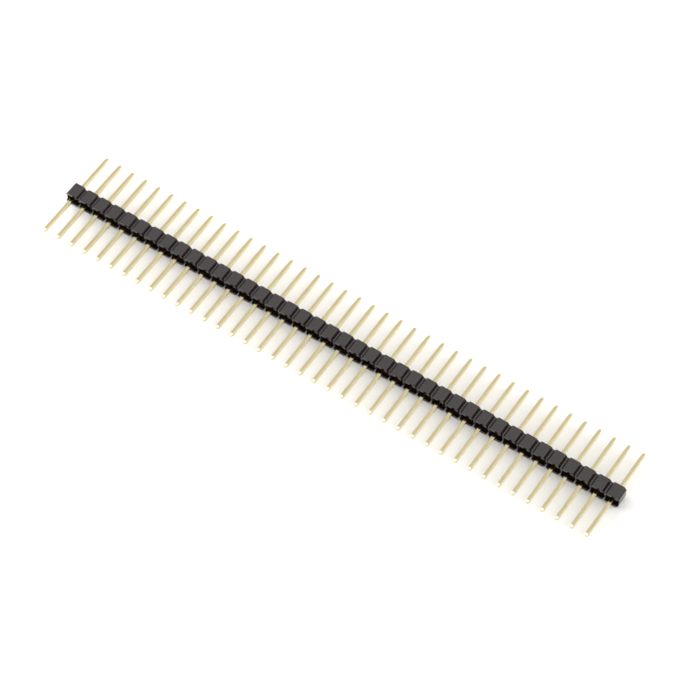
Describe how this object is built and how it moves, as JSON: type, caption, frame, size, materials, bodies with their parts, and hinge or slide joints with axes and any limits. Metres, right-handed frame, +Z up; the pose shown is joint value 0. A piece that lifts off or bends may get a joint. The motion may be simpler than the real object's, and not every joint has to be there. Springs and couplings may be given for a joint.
{
  "type": "pin header strip",
  "caption": "Straight single-row pin header: long square gold-plated pins through a black break-off housing, with stand-off lips on the board side.",
  "frame": {"origin": "under the middle of the strip, on the surface that it rests on", "axes": "+X along the row, +Y along the pins away from the board side, +Z up, with the strip lying on its side"},
  "size_m": [0.1014, 0.017, 0.0025],
  "materials": {
    "housing": "black moulded thermoplastic, satin to semi-gloss",
    "pins": "pale gold plating over drawn square brass wire, bright sheared tips"
  },
  "bodies": {
    "root": {"housing": "housing", "pin_01": "pins", "pin_02": "pins", "pin_03": "pins", "pin_04": "pins", "pin_05": "pins", "pin_06": "pins", "pin_07": "pins", "pin_08": "pins", "pin_09": "pins", "pin_10": "pins", "pin_11": "pins", "pin_12": "pins", "pin_13": "pins", "pin_14": "pins", "pin_15": "pins", "pin_16": "pins", "pin_17": "pins", "pin_18": "pins", "pin_19": "pins", "pin_20": "pins", "pin_21": "pins", "pin_22": "pins", "pin_23": "pins", "pin_24": "pins", "pin_25": "pins", "pin_26": "pins", "pin_27": "pins", "pin_28": "pins", "pin_29": "pins", "pin_30": "pins", "pin_31": "pins", "pin_32": "pins", "pin_33": "pins", "pin_34": "pins", "pin_35": "pins", "pin_36": "pins", "pin_37": "pins", "pin_38": "pins", "pin_39": "pins", "pin_40": "pins"}
  },
  "joints": []
}
